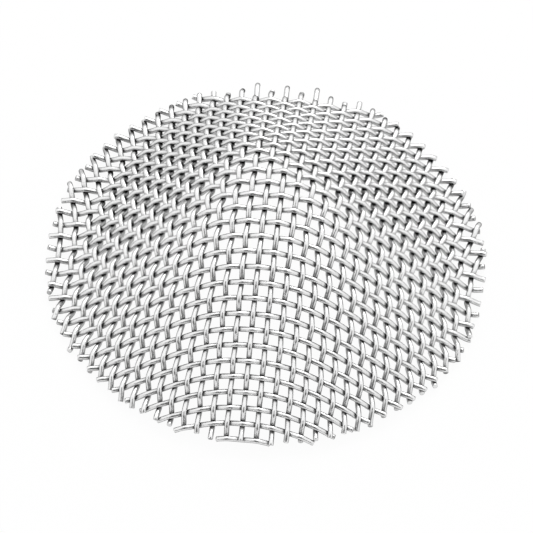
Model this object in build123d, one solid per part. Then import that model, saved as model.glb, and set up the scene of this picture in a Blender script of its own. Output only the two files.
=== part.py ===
from build123d import *
from dataclasses import dataclass
import math
import os

# Conical strainer: one disc of woven wire cloth, pressed to a blunt cone with a narrow flat rim.
# Millimetres. +Z runs from the rim to the tip. The origin is in the middle of the rim, level with
# its lowest wires. One set of wires runs along X and the other along Y.

# Form of the pressed cloth, on its middle surface
rim_size_x = 60.2          # across the cut ends of the wires; the rim is very slightly oval
rim_size_y = 62.4
tip_height = 19.14         # above the rim's plane
dome_radius = 29.5         # gentle round of the blunt tip
dome_lean = (-0.026, -0.010)    # slope of the dome at the tip, along X and along Y
shoulder_reach = 8.4       # from the tip's axis to where the dome would meet the cone's side
foot_radius = 28.6         # where the cone's side would meet the rim's plane
shoulder_blend = 3.45      # rounding between the dome and the side
foot_blend = 2.26          # rounding between the side and the flat rim
tip_off_centre = (2.0, -0.53)   # the tip stands a little off the rim's middle

# Unevenness of the pressing round the tip, as shares of the side's rise and of the foot's
# radius. The pairs are the cosine and sine parts once, twice and three times round.
slope_waves = ((-0.034, -0.055), (0.084, -0.001), (0.021, 0.024))
foot_waves = ((-0.046, -0.013), (-0.0775, 0.003), (0.006, -0.016))

# Weave, drawn with flat strands at a wide spacing
wire_diameter = 0.71       # thickness of each strand, so that the wall is two wires thick
strand_width = 1.75
strand_crown = 0.8         # width of a strand's flat top and bottom
spacing_along_x = 5.21     # between the strands that run along Y
spacing_along_y = 5.40     # between the strands that run along X
crossing_flat = 2.0        # level length of a strand at each crossing
crossing_bite = 0.06       # how deep two strands press into each other where they cross

dome_drop = shoulder_reach**2 / (2 * dome_radius)
side_slope = (tip_height - dome_drop) / (foot_radius - shoulder_reach)
weave_offset = (wire_diameter - crossing_bite) / 2
held_share = 0.05          # the outermost strands lie at least this far inside the rim
end_share = 0.012          # a strand runs straight at least this far in from its cut end
search_steps = 40          # halvings that place a crossing on the surface
slope_step = 0.001         # distance over which the surface's slopes are measured
UP = Vector(0, 0, 1)


def rim_share(point):
    """Distance from the middle as a share of the rim's: 1 at the cut ends."""
    return math.hypot(point.X / (rim_size_x / 2), point.Y / (rim_size_y / 2))


@dataclass
class Station:
    """A place on a strand: its foot on the middle surface, its directions and its offset."""
    foot: Vector
    normal: Vector
    tangent: Vector
    offset: float

    def reach(self):
        return rim_share(self.foot)


def waves(angle, parts):
    """Unevenness round the axis, about 1."""
    total = 1
    for turns, (along_x, along_y) in enumerate(parts, 1):
        total += along_x * math.cos(turns * angle) + along_y * math.sin(turns * angle)
    return total


def lower_of(a, b, blend):
    """The lower of two heights, with their meeting rounded off."""
    share = min(max(0.5 + 0.5 * (b - a) / blend, 0), 1)
    return b + (a - b) * share - blend * share * (1 - share)


def surface_height(x, y):
    """Height of the middle surface above the rim's plane: dome, side, foot and flat rim."""
    from_tip_x = x - tip_off_centre[0]
    from_tip_y = y - tip_off_centre[1]
    radius = math.hypot(from_tip_x, from_tip_y)
    angle = math.atan2(from_tip_y, from_tip_x)
    lean = dome_lean[0] * from_tip_x + dome_lean[1] * from_tip_y
    dome = tip_height - radius**2 / (2 * dome_radius) + lean
    foot = foot_radius * waves(angle, foot_waves)
    side = (foot - radius) * side_slope * waves(angle, slope_waves)
    return -lower_of(-lower_of(dome, side, shoulder_blend), 0, foot_blend)


def surface_normal(point):
    """Outward normal of the middle surface above or below a point."""
    here = surface_height(point.X, point.Y)
    rise_x = surface_height(point.X + slope_step, point.Y) - here
    rise_y = surface_height(point.X, point.Y + slope_step) - here
    return Vector(-rise_x, -rise_y, slope_step).normalized()


def above_surface(point):
    return point.Z > surface_height(point.X, point.Y)


def swing_to_surface(centre, outward, upward, reach):
    """Point at a given reach from the centre, swung down from upright until it meets the surface."""
    low, high = -math.pi / 2, math.pi / 2
    for _ in range(search_steps):
        lift = (low + high) / 2
        point = centre + outward * (reach * math.cos(lift)) + upward * (reach * math.sin(lift))
        if above_surface(point):
            high = lift
        else:
            low = lift
    return point


def fourth_corner(inner, beside_x, beside_y):
    """Outer corner of a cell: the cells shear as the cloth is pressed, and keep their sides."""
    across = beside_y - beside_x
    width = across.length
    along = (width**2 + spacing_along_y**2 - spacing_along_x**2) / (2 * width)
    centre = beside_x + across * (along / width)
    outward = centre - inner
    outward = (outward - across * (outward.dot(across) / width**2)).normalized()
    upward = outward.cross(across).normalized()
    if upward.Z < 0:
        upward = -upward
    reach = math.sqrt(spacing_along_y**2 - along**2)
    return swing_to_surface(centre, outward, upward, reach)


def add_quarter(net, side_x, side_y, count_x, count_y):
    """Crossings of one quarter of the pressed cloth, numbered from the tip."""
    for a in range(1, count_x + 1):
        i = a * side_x
        net[i, 0] = swing_to_surface(net[i - side_x, 0], Vector(side_x, 0, 0), UP, spacing_along_x)
    for b in range(1, count_y + 1):
        j = b * side_y
        net[0, j] = swing_to_surface(net[0, j - side_y], Vector(0, side_y, 0), UP, spacing_along_y)
    for a in range(1, count_x + 1):
        for b in range(1, count_y + 1):
            i, j = a * side_x, b * side_y
            net[i, j] = fourth_corner(net[i - side_x, j - side_y], net[i, j - side_y], net[i - side_x, j])


def draped_net(count_x, count_y):
    """Crossings of the whole cloth by number. Strands 0 of both sets cross at the tip."""
    x, y = tip_off_centre
    net = {(0, 0): Vector(x, y, surface_height(x, y))}
    for side_x in (1, -1):
        for side_y in (1, -1):
            add_quarter(net, side_x, side_y, count_x, count_y)
    return net


def crossing_stations(before, here, after, side):
    """Both ends of a strand's level length at a crossing: side is 1 over it and -1 under it."""
    normal = surface_normal(here)
    tangent = after - before
    tangent = (tangent - normal * tangent.dot(normal)).normalized()
    ends = (-crossing_flat / 2, crossing_flat / 2)
    return [Station(here + tangent * end, normal, tangent, side * weave_offset) for end in ends]


def end_station(inside, outside):
    """Where a strand is cut off at the rim."""
    share = (1 - inside.reach()) / (outside.reach() - inside.reach())
    foot = inside.foot + (outside.foot - inside.foot) * share
    foot = Vector(foot.X, foot.Y, surface_height(foot.X, foot.Y))
    normal = surface_normal(foot)
    tangent = inside.tangent - normal * inside.tangent.dot(normal)
    offset = inside.offset + (outside.offset - inside.offset) * share
    return Station(foot, normal, tangent.normalized(), offset)


def trimmed(stations):
    """The part of a strand inside the rim's outline, with its two cut ends."""
    inside = [k for k, station in enumerate(stations) if station.reach() < 1 - end_share]
    first, last = inside[0], inside[-1]
    start = end_station(stations[first], stations[first - 1])
    end = end_station(stations[last], stations[last + 1])
    return [start] + stations[first:last + 1] + [end]


def section(station):
    """Six-sided section of a strand, square to its run."""
    middle = station.foot + station.normal * station.offset
    across = station.tangent.cross(station.normal)
    half, crown, thick = strand_width / 2, strand_crown / 2, wire_diameter / 2
    upper = [(half, 0), (crown, thick), (-crown, thick)]
    lower = [(-x, -y) for x, y in upper]
    plane = Plane(origin=middle, x_dir=across, z_dir=station.tangent)
    return plane * Polygon(*upper, *lower, align=None)


def strand(nodes, first_side):
    """One strand that goes over and under by turns, cut off at the rim."""
    stations = []
    side = first_side
    for before, here, after in zip(nodes, nodes[1:], nodes[2:]):
        stations += crossing_stations(before, here, after, side)
        side = -side
    return loft([section(station) for station in trimmed(stations)], ruled=True)


def reaches_inside(nodes):
    """Whether a strand's middle lies far enough inside the rim to be held by the others."""
    return rim_share(nodes[len(nodes) // 2]) < 1 - held_share


def all_strands():
    """Both sets of strands. Where two cross, one lies over and the other under."""
    widest = max(rim_size_x, rim_size_y) / 2
    reach = (widest + math.hypot(*tip_off_centre)) * math.hypot(1, side_slope)
    count_x = math.ceil(reach / spacing_along_x) + 1
    count_y = math.ceil(reach / spacing_along_y) + 1
    net = draped_net(count_x, count_y)
    across_x = range(-count_x, count_x + 1)
    across_y = range(-count_y, count_y + 1)
    made = []
    for i in across_x:
        nodes = [net[i, j] for j in across_y]
        if reaches_inside(nodes):
            made.append(strand(nodes, (-1) ** (i + across_y[1])))
    for j in across_y:
        nodes = [net[i, j] for i in across_x]
        if reaches_inside(nodes):
            made.append(strand(nodes, -((-1) ** (j + across_x[1]))))
    return made


def mesh_cone():
    """The woven wall: strands joined where they cross, standing on the lowest of them."""
    first, *others = all_strands()
    wall = first.fuse(*others)
    box = wall.bounding_box()
    middle = box.center()
    return wall.moved(Location((-middle.X, -middle.Y, -box.min.Z)))


os.makedirs("parts", exist_ok=True)
export_step(mesh_cone(), "parts/mesh_cone.step")
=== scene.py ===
import math
import random

import bpy
import numpy as np
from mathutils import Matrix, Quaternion, Vector


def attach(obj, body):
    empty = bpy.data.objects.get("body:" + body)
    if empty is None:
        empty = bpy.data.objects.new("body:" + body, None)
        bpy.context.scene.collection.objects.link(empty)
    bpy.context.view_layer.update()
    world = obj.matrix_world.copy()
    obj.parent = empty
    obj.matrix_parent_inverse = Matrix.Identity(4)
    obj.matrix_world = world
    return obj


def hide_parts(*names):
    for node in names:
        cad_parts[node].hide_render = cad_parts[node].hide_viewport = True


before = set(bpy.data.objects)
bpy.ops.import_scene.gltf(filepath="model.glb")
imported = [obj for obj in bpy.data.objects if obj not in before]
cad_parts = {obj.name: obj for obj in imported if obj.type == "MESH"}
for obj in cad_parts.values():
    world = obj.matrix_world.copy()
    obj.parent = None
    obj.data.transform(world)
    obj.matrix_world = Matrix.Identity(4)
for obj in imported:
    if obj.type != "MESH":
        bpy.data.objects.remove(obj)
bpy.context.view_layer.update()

# Form of the pressed cloth, on its middle surface, in metres. It matches the solid wall. Only the
# tip is 0.1 mm lower, because the true wires reach a little further from that surface.
TIP_HEIGHT = 0.01903         # above the rim's middle surface
TIP_CURVE = 0.0295           # radius of the blunt tip's dome
TIP_LEAN = (-0.026, -0.010)  # tilt of the dome, up towards the left and the front
SLOPE = 0.888                # rise of the cone's side
FOOT_RADIUS = 0.0286         # where the cone's side would meet the rim's plane
SHOULDER_BLEND = 0.00345     # rounding between the dome and the side
FOOT_BLEND = 0.00226         # rounding between the side and the flat rim
AXIS = (0.00200, -0.00053)   # the tip stands a little off the rim's middle
# Unevenness of the pressing once, twice and three times round: cosine and sine parts
SLOPE_WAVES = ((-0.034, -0.055), (0.084, -0.001), (0.021, 0.024))
FOOT_WAVES = ((-0.046, -0.013), (-0.0775, 0.003), (0.006, -0.016))

# The true weave. The wires along X are crimped less than those along Y.
WIRE_DIAMETER = 0.000711
CRIMP_X = 0.32               # rise of a wire at a crossing, as a share of its diameter
CRIMP_Y = 0.59
CRIMP_STRAIGHTENING = 0.05   # of a wire between its crests, by a share of a third harmonic
BASE = (max(CRIMP_X, CRIMP_Y) + 0.5) * WIRE_DIAMETER    # height of the rim's middle surface
PITCH_X = 0.00204            # between the wires that run along Y
PITCH_Y = 0.00212            # between the wires that run along X
FIRST_X, LAST_X = -17, 17    # numbers of the wires that run along Y
FIRST_Y, LAST_Y = -17, 15    # numbers of the wires that run along X
SHIFT_X = -1.12              # pitches from the tip's axis to wire 0 of those along Y
SHIFT_Y = 0.08               # pitches from the tip's axis to wire 0 of those along X
PITCHES_OUT = 19             # reach of each wire both ways before it is cut to the rim
RINGS_PER_PITCH = 8
RING_SIDES = 12

# Cut ends
RIM_REACH = (0.0301, 0.0312)    # of the rim's outline from its middle, along X and along Y
TRIM = (0.001, 0.022)        # least and most that an end is cut short, as shares of that reach
BEVEL = 0.00005
END_CLEARANCE = 3 * BEVEL    # within it an end has only the bevel's two rings

# Draped net that the wires follow
NET_STEP = 0.0005
NET_REACH = 0.041            # along the cloth, each way from the tip
NET_MARGIN = 0.001           # share of a step by which points are kept inside the net's edge
MERIDIAN_POINTS = 6000       # they measure the length of a meridian
NEWTON_STEPS = 8
NEWTON_LIMIT = 0.3 * NET_STEP   # longest move of a corner along X or Y in one Newton step
SMOOTHING = 10               # passes that round the net's creases off
OWN_WEIGHT = 4               # of a point in a pass, where each of its neighbours counts 1
NEIGHBOURS = 4
SLOPE_STEP = 1e-6            # distance over which slopes are measured

# Bright drawn wire
DRAWN_LENGTH = 0.0012        # unit of the drawing lines' pattern along a wire
DRAWN_OFFSET = 7.3           # from one wire's pattern to the next one's
DRAWN_SCALE = 5.0
DRAWN_DETAIL = 3.0
DRAWN_BUMP = 0.5
DRAWN_DEPTH = 0.00004
ROUGHNESS = (0.10, 0.24)
EDGE_TINT = (0.0, 0.0, 0.0, 1)
CREVICE_REACH = 0.0012       # how near another wire lies where shade is painted into the metal's colour
CREVICE_SAMPLES = 8
CREVICE_SHADES = ((0.36, 0.05), (0.9, 0.83))    # openness to the surroundings, and the painted shade of the metal there

# Floor. The lifts are shares of plain white, as the camera and as the metal see the floor.
FLOOR_REACH = 3
FLOOR_SHADE = 0.8
FLOOR_ROUGHNESS = 0.8
FLOOR_LIFT = 0.95
MIRRORED_LIFT = 0.4

# View of the photograph
VIEW_AZIMUTH = math.radians(3.8)
VIEW_ELEVATION = math.radians(52.0)
VIEW_ROLL = math.radians(2.7)
VIEW_DISTANCE = 2.65
PICTURE_WIDTH = 0.0722       # width of the view at the object
AIM = (0.00005, 0.00012)     # from the rim's middle to the picture's middle: right and up
SENSOR_WIDTH = 36            # millimetres, as Blender has it

# Studio round the object. Directions are unit vectors: -Y is the front.
SKY = ((-1.0, 0.05), (-0.05, 0.05), (0.0, 0.9), (0.2, 1.0), (0.5, 1.05), (1.0, 1.15))    # Z, level
SKY_SCALE = 2                # the ramp holds the levels divided by it, as its colours end at 1
FRONT_SPAN = (-0.95, -0.6)   # Y from the darkest part of the front to where its grey ends
FRONT_LIGHT = 0.12           # share of the light that is left in the darkest part
CAMERA_DIRECTION = (0.041, -0.614, 0.788)
CAMERA_ROUND = (0.93, 0.97)  # cosines at the outer and inner edge of the dark camera
CAMERA_LIGHT = 0.05          # share of the light that is left in it
KEY_PLACE = (0.1, 0.45, 0.55)
KEY_SIZE = 0.45
KEY_POWER = 2


# Angles by Python's own atan2, since numpy's can differ in the last digit from run to run
steady_atan2 = np.vectorize(math.atan2, otypes=[float])


def waves(angle, parts):
    """Unevenness round the axis, about 1."""
    total = 1.0
    for turns, (along_x, along_y) in enumerate(parts, 1):
        total = total + along_x * np.cos(turns * angle) + along_y * np.sin(turns * angle)
    return total


def lower_of(a, b, blend):
    """The lower of two heights, with the meeting rounded off."""
    share = np.clip(0.5 + 0.5 * (b - a) / blend, 0, 1)
    return b + (a - b) * share - blend * share * (1 - share)


def surface_height(x, y):
    """Height of the middle surface above the rim's plane: dome, side, foot and flat rim."""
    radius = np.hypot(x, y)
    angle = steady_atan2(y, x)
    dome = TIP_HEIGHT - radius ** 2 / (2 * TIP_CURVE) + TIP_LEAN[0] * x + TIP_LEAN[1] * y
    side = (FOOT_RADIUS * waves(angle, FOOT_WAVES) - radius) * SLOPE * waves(angle, SLOPE_WAVES)
    return -lower_of(-lower_of(dome, side, SHOULDER_BLEND), 0, FOOT_BLEND)


def slopes(x, y):
    """Slopes of the middle surface along X and along Y."""
    here = surface_height(x, y)
    along_x = (surface_height(x + SLOPE_STEP, y) - here) / SLOPE_STEP
    along_y = (surface_height(x, y + SLOPE_STEP) - here) / SLOPE_STEP
    return along_x, along_y


def unit(vectors):
    """Vectors brought to a length of 1."""
    return vectors / np.linalg.norm(vectors, axis=-1, keepdims=True)


def normals(points):
    """Outward normals of the middle surface."""
    along_x, along_y = slopes(points[..., 0], points[..., 1])
    return unit(np.stack([-along_x, -along_y, np.ones_like(along_x)], -1))


def on_surface(flat):
    """Points of the middle surface above or below given ones."""
    height = surface_height(flat[..., 0], flat[..., 1])
    return np.concatenate([flat[..., :2], height[..., None]], -1)


def meridian(count, direction):
    """Points one net step apart on the surface, straight out from the axis."""
    run = np.linspace(0, NET_REACH, MERIDIAN_POINTS)[:, None] * np.array(direction)
    points = on_surface(run)
    length = np.linalg.norm(np.diff(points, axis=0), axis=1)
    length = np.concatenate([[0], np.cumsum(length)])
    wanted = np.arange(count + 1) * NET_STEP
    flat = np.stack([np.interp(wanted, length, points[:, axis]) for axis in (0, 1)], -1)
    return on_surface(flat)


def fourth_corners(left, right, inner):
    """Outer corners of net cells with sides of one step: Newton steps on the two distances."""
    flat = (left + right - inner)[:, :2]
    for _ in range(NEWTON_STEPS):
        here = on_surface(flat)
        slope = np.stack(slopes(flat[:, 0], flat[:, 1]), -1)
        rows = []
        for other in (left, right):
            gap = here - other
            error = (gap ** 2).sum(1) - NET_STEP ** 2
            rows.append((2 * (gap[:, :2] + gap[:, 2:] * slope), error))
        (a, error_a), (b, error_b) = rows
        determinant = a[:, 0] * b[:, 1] - a[:, 1] * b[:, 0]
        step_x = error_a * b[:, 1] - a[:, 1] * error_b
        step_y = a[:, 0] * error_b - error_a * b[:, 0]
        step = np.stack([step_x, step_y], -1) / determinant[:, None]
        flat = flat - np.clip(step, -NEWTON_LIMIT, NEWTON_LIMIT)
    return on_surface(flat)


def quarter_net(count, side_x, side_y):
    """One quarter of the net, numbered outward from the tip."""
    quarter = np.zeros((count + 1, count + 1, 3))
    quarter[:, 0] = meridian(count, (side_x, 0))
    quarter[0, :] = meridian(count, (0, side_y))
    for diagonal in range(2, 2 * count + 1):
        i = np.arange(max(1, diagonal - count), min(count, diagonal - 1) + 1)
        j = diagonal - i
        quarter[i, j] = fourth_corners(quarter[i - 1, j], quarter[i, j - 1], quarter[i - 1, j - 1])
    return quarter


def draped_net():
    """Points of the pressed cloth on a square net. The cells shear and keep their sides."""
    count = round(NET_REACH / NET_STEP)
    net = np.zeros((2 * count + 1, 2 * count + 1, 3))
    net[count:, count:] = quarter_net(count, 1, 1)
    net[count::-1, count:] = quarter_net(count, -1, 1)
    net[count:, count::-1] = quarter_net(count, 1, -1)
    net[count::-1, count::-1] = quarter_net(count, -1, -1)
    for _ in range(SMOOTHING):
        flat = net.copy()
        flat[1:-1, 1:-1] = (net[1:-1, 1:-1] * OWN_WEIGHT + net[2:, 1:-1] + net[:-2, 1:-1]
                            + net[1:-1, 2:] + net[1:-1, :-2]) / (OWN_WEIGHT + NEIGHBOURS)
        net = on_surface(flat[..., :2])
    return net


def at_net(net, along_x, along_y):
    """Points of the cloth at distances from the tip, measured along the two sets of wires."""
    last = len(net) - 1
    a = np.clip(along_x / NET_STEP + last / 2, 0, last - NET_MARGIN)
    b = np.clip(along_y / NET_STEP + last / 2, 0, last - NET_MARGIN)
    i, j = a.astype(int), b.astype(int)
    share_a, share_b = (a - i)[:, None], (b - j)[:, None]
    low = net[i, j] * (1 - share_b) + net[i, j + 1] * share_b
    high = net[i + 1, j] * (1 - share_b) + net[i + 1, j + 1] * share_b
    return low * (1 - share_a) + high * share_a


def crimp(phase):
    """Height of a wire above the middle surface: 1 over a crossing and -1 under the next."""
    third = CRIMP_STRAIGHTENING * np.cos(3 * math.pi * phase)
    return (np.cos(math.pi * phase) + third) / (1 + CRIMP_STRAIGHTENING)


def wire_path(net, number, along_x):
    """A wire before it is cut: points of the middle surface, normals and heights above it."""
    rings = PITCHES_OUT * RINGS_PER_PITCH
    phase = np.arange(-rings, rings + 1) / RINGS_PER_PITCH
    if along_x:
        run = (phase + SHIFT_X) * PITCH_X
        base = at_net(net, run, np.full_like(run, (number + SHIFT_Y) * PITCH_Y))
        side = CRIMP_X
    else:
        run = (phase + SHIFT_Y) * PITCH_Y
        base = at_net(net, np.full_like(run, (number + SHIFT_X) * PITCH_X), run)
        side = -CRIMP_Y
    height = side * (-1) ** number * crimp(phase) * WIRE_DIAMETER
    return base + (*AXIS, BASE), normals(base), height


def cut_to_rim(rows, dice):
    """The stretch of a wire inside the rim, each end cut a little short of its outline."""
    base = rows[0]
    reach = np.hypot(base[:, 0] / RIM_REACH[0], base[:, 1] / RIM_REACH[1])
    start_limit, end_limit = 1 - dice.uniform(*TRIM), 1 - dice.uniform(*TRIM)
    inside = np.nonzero(reach < min(start_limit, end_limit))[0]
    first, last = inside[0], inside[-1]

    def cut(near, far, limit):
        share = min((limit - reach[near]) / (reach[far] - reach[near]), 1)
        return [row[near] + (row[far] - row[near]) * share for row in rows]

    starts = cut(first, first - 1, start_limit)
    ends = cut(last, last + 1, end_limit)
    kept = [row[first:last + 1] for row in rows]
    return [np.concatenate([[start], row, [end]]) for start, row, end in zip(starts, kept, ends)]


def tube(path, reference, radius, seed):
    """Vertices, faces and grain of a round bar along a path, with flat bevelled ends."""
    clear = np.linalg.norm(path - path[0], axis=1) > END_CLEARANCE
    clear &= np.linalg.norm(path - path[-1], axis=1) > END_CLEARANCE
    middle = path[clear]
    start = path[0] + unit(middle[0] - path[0]) * BEVEL
    end = path[-1] + unit(middle[-1] - path[-1]) * BEVEL
    path = np.concatenate([path[:1], [start], middle, [end], path[-1:]])
    reference = np.concatenate([reference[:1], reference[:1], reference[clear],
                                reference[-1:], reference[-1:]])
    tangent = unit(np.gradient(path, axis=0))
    across = unit(np.cross(tangent, reference))
    upward = np.cross(across, tangent)
    turn = np.arange(RING_SIDES) * 2 * math.pi / RING_SIDES
    cosine, sine = np.cos(turn), np.sin(turn)
    ring = across[:, None] * cosine[:, None] + upward[:, None] * sine[:, None]
    count = len(path)
    radii = np.full((count, 1, 1), radius)
    radii[[0, -1]] -= BEVEL
    vertices = (path[:, None] + ring * radii).reshape(-1, 3)
    run = np.concatenate([[0], np.cumsum(np.linalg.norm(np.diff(path, axis=0), axis=1))])
    grain = np.zeros((count, RING_SIDES, 3))
    grain[..., 0] = run[:, None] / DRAWN_LENGTH + seed * DRAWN_OFFSET
    grain[..., 1] = cosine
    grain[..., 2] = sine
    faces = []
    for near in range(0, (count - 1) * RING_SIDES, RING_SIDES):
        far = near + RING_SIDES
        for s in range(RING_SIDES):
            t = (s + 1) % RING_SIDES
            faces.append((near + s, near + t, far + t, far + s))
    faces.append(tuple(reversed(range(RING_SIDES))))
    faces.append(tuple(range((count - 1) * RING_SIDES, count * RING_SIDES)))
    return vertices, faces, grain.reshape(-1, 3)


def put(name, data):
    """A new object in the scene."""
    made = bpy.data.objects.new(name, data)
    bpy.context.scene.collection.objects.link(made)
    return made


def wire_set(name, net, numbers, along_x, material):
    """All wires that run one way, as one mesh."""
    vertices, faces, grains = [], [], []
    for number in numbers:
        dice = random.Random(2 * number + along_x)
        base, normal, height = cut_to_rim(wire_path(net, number, along_x), dice)
        path = base + normal * height[:, None]
        points, sides, grain = tube(path, normal, WIRE_DIAMETER / 2, number)
        offset = sum(len(earlier) for earlier in vertices)
        vertices.append(points)
        grains.append(grain)
        faces += [tuple(corner + offset for corner in face) for face in sides]
    mesh = bpy.data.meshes.new(name)
    mesh.from_pydata(np.concatenate(vertices).tolist(), [], faces)
    for polygon in mesh.polygons:
        polygon.use_smooth = len(polygon.vertices) < RING_SIDES    # all but the cut ends
    layer = mesh.attributes.new("grain", "FLOAT_VECTOR", "POINT")
    layer.data.foreach_set("vector", np.concatenate(grains).ravel())
    mesh.materials.append(material)
    piece = put(name, mesh)
    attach(piece, "root")
    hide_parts("mesh_cone")


def link(tree, start, end):
    """Links two sockets, each given as a node and the socket's name or number."""
    tree.links.new(start[0].outputs[start[1]], end[0].inputs[end[1]])


def combined(tree, operation, first, second):
    """Output of a Math node. Each term is a number, or a node and its socket's name or number."""
    made = tree.nodes.new("ShaderNodeMath")
    made.operation = operation
    for place, term in enumerate((first, second)):
        if isinstance(term, tuple):
            link(tree, term, (made, place))
        else:
            made.inputs[place].default_value = term
    return made, "Value"


def faded(tree, source, span, values, interpolation="LINEAR"):
    """Output of a Map Range node: it goes from one value to another over a span of the source."""
    made = tree.nodes.new("ShaderNodeMapRange")
    made.interpolation_type = interpolation
    for name, value in zip(("From Min", "From Max", "To Min", "To Max"), (*span, *values)):
        made.inputs[name].default_value = value
    link(tree, source, (made, "Value"))
    return made, "Result"


def greys(tree, source, shades):
    """Output of a colour ramp of greys, given as places and shades."""
    made = tree.nodes.new("ShaderNodeValToRGB")
    stops = made.color_ramp.elements
    while len(stops) < len(shades):
        stops.new(0.5)           # the loop below puts it in its place
    for stop, (place, shade) in zip(stops, shades):
        stop.position = place
        stop.color = (shade, shade, shade, 1)
    link(tree, source, (made, "Fac"))
    return made, "Color"


def new_material(name):
    """A new material, its node tree and its shader."""
    material = bpy.data.materials.new(name)
    material.use_nodes = True
    tree = material.node_tree
    return material, tree, tree.nodes["Principled BSDF"]


def stainless():
    """Bright drawn wire: fine lines along its run, and painted shade that darkens its colour where
    the wires touch.
    """
    material, tree, shader = new_material("stainless_wire")
    shader.inputs["Metallic"].default_value = 1.0
    shader.inputs["Specular Tint"].default_value = EDGE_TINT
    # Painted shade: the metal's colour is darkened where other wires lie near, as shade falls in
    # the crevices.
    closeness = tree.nodes.new("ShaderNodeAmbientOcclusion")
    closeness.samples = CREVICE_SAMPLES
    closeness.inputs["Distance"].default_value = CREVICE_REACH
    painted_crevice_shade = greys(tree, (closeness, "AO"), CREVICE_SHADES)
    link(tree, painted_crevice_shade, (shader, "Base Color"))
    grain = tree.nodes.new("ShaderNodeAttribute")
    grain.attribute_name = "grain"
    lines = tree.nodes.new("ShaderNodeTexNoise")
    lines.inputs["Scale"].default_value = DRAWN_SCALE
    lines.inputs["Detail"].default_value = DRAWN_DETAIL
    link(tree, (grain, "Vector"), (lines, "Vector"))
    dullness = faded(tree, (lines, 0), (0, 1), ROUGHNESS)
    link(tree, dullness, (shader, "Roughness"))
    bump = tree.nodes.new("ShaderNodeBump")
    bump.inputs["Strength"].default_value = DRAWN_BUMP
    bump.inputs["Distance"].default_value = DRAWN_DEPTH
    link(tree, (lines, 0), (bump, "Height"))
    link(tree, (bump, "Normal"), (shader, "Normal"))
    return material


def floor():
    """Plain pale floor. It is lifted towards white with a faint shadow left, less so in metal."""
    mesh = bpy.data.meshes.new("floor")
    r = FLOOR_REACH
    mesh.from_pydata([(-r, -r, 0), (r, -r, 0), (r, r, 0), (-r, r, 0)], [], [(0, 1, 2, 3)])
    material, tree, shader = new_material("floor")
    shader.inputs["Base Color"].default_value = (FLOOR_SHADE, FLOOR_SHADE, FLOOR_SHADE, 1)
    shader.inputs["Roughness"].default_value = FLOOR_ROUGHNESS
    white = tree.nodes.new("ShaderNodeEmission")
    white.inputs["Strength"].default_value = 1.0
    path = tree.nodes.new("ShaderNodeLightPath")
    seen = combined(tree, "MULTIPLY", (path, "Is Camera Ray"), FLOOR_LIFT)
    reflected = combined(tree, "MAXIMUM", (path, "Is Glossy Ray"), (path, "Is Transmission Ray"))
    mirrored = combined(tree, "MULTIPLY", reflected, MIRRORED_LIFT)
    mix = tree.nodes.new("ShaderNodeMixShader")
    link(tree, combined(tree, "MAXIMUM", seen, mirrored), (mix, 0))
    link(tree, (shader, 0), (mix, 1))
    link(tree, (white, 0), (mix, 2))
    link(tree, (mix, 0), (tree.nodes["Material Output"], "Surface"))
    mesh.materials.append(material)
    plane = put("floor", mesh)


def camera():
    """Camera at the photograph's viewing angle."""
    data = bpy.data.cameras.new("camera")
    data.sensor_width = SENSOR_WIDTH
    data.lens = SENSOR_WIDTH * VIEW_DISTANCE / PICTURE_WIDTH
    made = put("camera", data)
    towards = Vector((math.sin(VIEW_AZIMUTH) * math.cos(VIEW_ELEVATION),
                      -math.cos(VIEW_AZIMUTH) * math.cos(VIEW_ELEVATION),
                      math.sin(VIEW_ELEVATION)))
    turn = (-towards).to_track_quat("-Z", "Y") @ Quaternion((0, 0, 1), VIEW_ROLL)
    aside = turn @ Vector((*AIM, 0))
    made.location = Vector((0, 0, BASE)) + aside + towards * VIEW_DISTANCE
    made.rotation_euler = turn.to_euler()
    bpy.context.scene.camera = made


def studio():
    """Bright tent all round, grey low in front, with the dark round of the camera in its wall."""
    world = bpy.data.worlds.new("world")
    bpy.context.scene.world = world
    world.use_nodes = True
    tree = world.node_tree
    coords = tree.nodes.new("ShaderNodeTexCoord")
    split = tree.nodes.new("ShaderNodeSeparateXYZ")
    link(tree, (coords, "Generated"), (split, 0))
    height = faded(tree, (split, "Z"), (-1, 1), (0, 1))
    sky = greys(tree, height, [((up + 1) / 2, level / SKY_SCALE) for up, level in SKY])
    front_levels = (SKY_SCALE * FRONT_LIGHT, SKY_SCALE)
    front = faded(tree, (split, "Y"), FRONT_SPAN, front_levels, "SMOOTHSTEP")
    nearness = tree.nodes.new("ShaderNodeVectorMath")
    nearness.operation = "DOT_PRODUCT"
    nearness.inputs[1].default_value = CAMERA_DIRECTION
    link(tree, (coords, "Generated"), (nearness, 0))
    spot = faded(tree, (nearness, "Value"), CAMERA_ROUND, (1, CAMERA_LIGHT), "SMOOTHSTEP")
    background = tree.nodes["Background"]
    link(tree, sky, (background, "Color"))
    link(tree, combined(tree, "MULTIPLY", front, spot), (background, "Strength"))


def key_light():
    """One soft lamp above and behind the object."""
    data = bpy.data.lights.new("key", "AREA")
    data.size = KEY_SIZE
    data.energy = KEY_POWER
    lamp = put("key", data)
    lamp.location = KEY_PLACE
    lamp.rotation_euler = (-Vector(KEY_PLACE)).to_track_quat("-Z", "Y").to_euler()


net = draped_net()
wire_metal = stainless()
wire_set("wires_along_x", net, range(FIRST_Y, LAST_Y + 1), True, wire_metal)
wire_set("wires_along_y", net, range(FIRST_X, LAST_X + 1), False, wire_metal)
floor()
camera()
studio()
key_light()
bpy.context.scene.view_settings.view_transform = "Standard"
